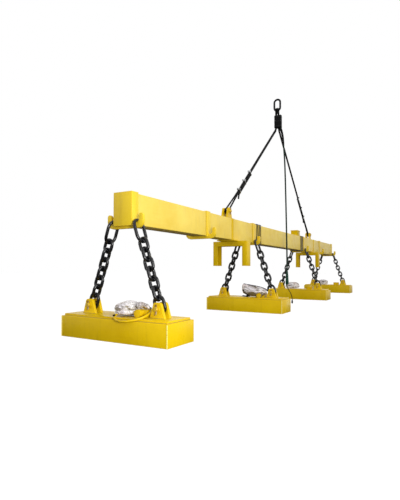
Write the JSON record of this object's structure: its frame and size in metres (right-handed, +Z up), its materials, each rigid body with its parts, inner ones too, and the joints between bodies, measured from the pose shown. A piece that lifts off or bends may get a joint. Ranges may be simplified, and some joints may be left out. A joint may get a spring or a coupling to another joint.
{
  "type": "electromagnet spreader beam",
  "caption": "Long welded box beam on a two-leg wire rope sling, carrying rectangular lifting magnets on chain pairs hooked over J-hooks, with parking frames and a supply cable.",
  "frame": {"origin": "the crane hook's seat, at the top of the master link's opening", "axes": "+X along the beam, towards the end with the junction box; +Z up; -Y towards the side where the supply cable hangs"},
  "size_m": [9.3418, 1.258, 3.9556],
  "materials": {
    "yellow_paint": "satin chrome-yellow brushed paint over welded structural steel",
    "black_steel": "glossy black lacquered alloy chain",
    "pin_steel": "yellow overpainted steel pin, bare and rusty at the edges",
    "black_rope": "black greased stranded wire rope",
    "zinc": "galvanised rope clips",
    "cable_rubber": "dark green-black rubber cable sheath",
    "copper": "insulated flat copper winding",
    "stainless": "non-magnetic stainless cover plate",
    "film": "crumpled clear stretch film over a coiled lead"
  },
  "bodies": {
    "master_link": {"master_link": "black_steel"},
    "spreader": {"beam": "yellow_paint", "hook_collar_1": "yellow_paint", "hook_collar_2": "yellow_paint", "hook_collar_3": "yellow_paint", "hook_collar_4": "yellow_paint", "hook_collar_5": "yellow_paint", "hook_collar_6": "yellow_paint", "parking_frame_left": "yellow_paint", "parking_frame_right": "yellow_paint", "junction_box": "yellow_paint", "beam_lug_left": "yellow_paint", "beam_lug_right": "yellow_paint", "lug_pin_left": "pin_steel", "lug_pin_right": "pin_steel", "sling_leg_left": "black_rope", "sling_leg_right": "black_rope", "rope_clips_left": "zinc", "rope_clips_right": "zinc", "sling_grip": "black_rope", "supply_cable": "cable_rubber", "cable_connector": "cable_rubber", "pigtail": "cable_rubber", "pigtail_plug": "cable_rubber"},
    "chain_1_front": {"chain_1_front": "black_steel"},
    "chain_1_rear": {"chain_1_rear": "black_steel"},
    "magnet_1": {"magnet_1_housing": "yellow_paint", "magnet_1_winding": "copper", "magnet_1_cover": "stainless", "magnet_1_top_plate": "yellow_paint", "magnet_1_cable_pack": "film", "magnet_1_pin_front": "pin_steel", "magnet_1_pin_rear": "pin_steel"},
    "chain_2_front": {"chain_2_front": "black_steel"},
    "chain_2_rear": {"chain_2_rear": "black_steel"},
    "magnet_2": {"magnet_2_housing": "yellow_paint", "magnet_2_winding": "copper", "magnet_2_cover": "stainless", "magnet_2_top_plate": "yellow_paint", "magnet_2_cable_pack": "film", "magnet_2_pin_front": "pin_steel", "magnet_2_pin_rear": "pin_steel"},
    "chain_3_front": {"chain_3_front": "black_steel"},
    "chain_3_rear": {"chain_3_rear": "black_steel"},
    "magnet_3": {"magnet_3_housing": "yellow_paint", "magnet_3_winding": "copper", "magnet_3_cover": "stainless", "magnet_3_top_plate": "yellow_paint", "magnet_3_cable_pack": "film", "magnet_3_pin_front": "pin_steel", "magnet_3_pin_rear": "pin_steel"},
    "chain_4_front": {"chain_4_front": "black_steel"},
    "chain_4_rear": {"chain_4_rear": "black_steel"},
    "magnet_4": {"magnet_4_housing": "yellow_paint", "magnet_4_winding": "copper", "magnet_4_cover": "stainless", "magnet_4_top_plate": "yellow_paint", "magnet_4_cable_pack": "film", "magnet_4_pin_front": "pin_steel", "magnet_4_pin_rear": "pin_steel"}
  },
  "joints": [
    {"name": "rig_tilt", "type": "hinge", "parent": "master_link", "child": "spreader", "pos_m": [0, 0, -0.198], "axis": [0, 1, 0], "range_deg": [-8, 8]},
    {"name": "chain_1_front_swing", "type": "hinge", "parent": "spreader", "child": "chain_1_front", "pos_m": [-4.437, -0.145, -2.8723], "axis": [0, 1, 0], "range_deg": [-8, 8]},
    {"name": "chain_1_rear_swing", "type": "hinge", "parent": "spreader", "child": "chain_1_rear", "pos_m": [-4.437, 0.145, -2.8723], "axis": [0, 1, 0], "range_deg": [-8, 8]},
    {"name": "magnet_1_tilt", "type": "hinge", "parent": "chain_1_front", "child": "magnet_1", "pos_m": [-4.437, 0, -3.616], "axis": [0, 1, 0], "range_deg": [-8, 8]},
    {"name": "chain_2_front_swing", "type": "hinge", "parent": "spreader", "child": "chain_2_front", "pos_m": [-1.479, -0.145, -2.8723], "axis": [0, 1, 0], "range_deg": [-8, 8]},
    {"name": "chain_2_rear_swing", "type": "hinge", "parent": "spreader", "child": "chain_2_rear", "pos_m": [-1.479, 0.145, -2.8723], "axis": [0, 1, 0], "range_deg": [-8, 8]},
    {"name": "magnet_2_tilt", "type": "hinge", "parent": "chain_2_front", "child": "magnet_2", "pos_m": [-1.479, 0, -3.616], "axis": [0, 1, 0], "range_deg": [-8, 8]},
    {"name": "chain_3_front_swing", "type": "hinge", "parent": "spreader", "child": "chain_3_front", "pos_m": [1.479, -0.145, -2.8723], "axis": [0, 1, 0], "range_deg": [-8, 8]},
    {"name": "chain_3_rear_swing", "type": "hinge", "parent": "spreader", "child": "chain_3_rear", "pos_m": [1.479, 0.145, -2.8723], "axis": [0, 1, 0], "range_deg": [-8, 8]},
    {"name": "magnet_3_tilt", "type": "hinge", "parent": "chain_3_front", "child": "magnet_3", "pos_m": [1.479, 0, -3.616], "axis": [0, 1, 0], "range_deg": [-8, 8]},
    {"name": "chain_4_front_swing", "type": "hinge", "parent": "spreader", "child": "chain_4_front", "pos_m": [4.437, -0.145, -2.8723], "axis": [0, 1, 0], "range_deg": [-8, 8]},
    {"name": "chain_4_rear_swing", "type": "hinge", "parent": "spreader", "child": "chain_4_rear", "pos_m": [4.437, 0.145, -2.8723], "axis": [0, 1, 0], "range_deg": [-8, 8]},
    {"name": "magnet_4_tilt", "type": "hinge", "parent": "chain_4_front", "child": "magnet_4", "pos_m": [4.437, 0, -3.616], "axis": [0, 1, 0], "range_deg": [-8, 8]}
  ],
  "couplings": [
    {"joint": "chain_1_rear_swing", "follows": "chain_1_front_swing", "ratio": 1},
    {"joint": "chain_2_rear_swing", "follows": "chain_2_front_swing", "ratio": 1},
    {"joint": "chain_3_rear_swing", "follows": "chain_3_front_swing", "ratio": 1},
    {"joint": "chain_4_rear_swing", "follows": "chain_4_front_swing", "ratio": 1}
  ]
}
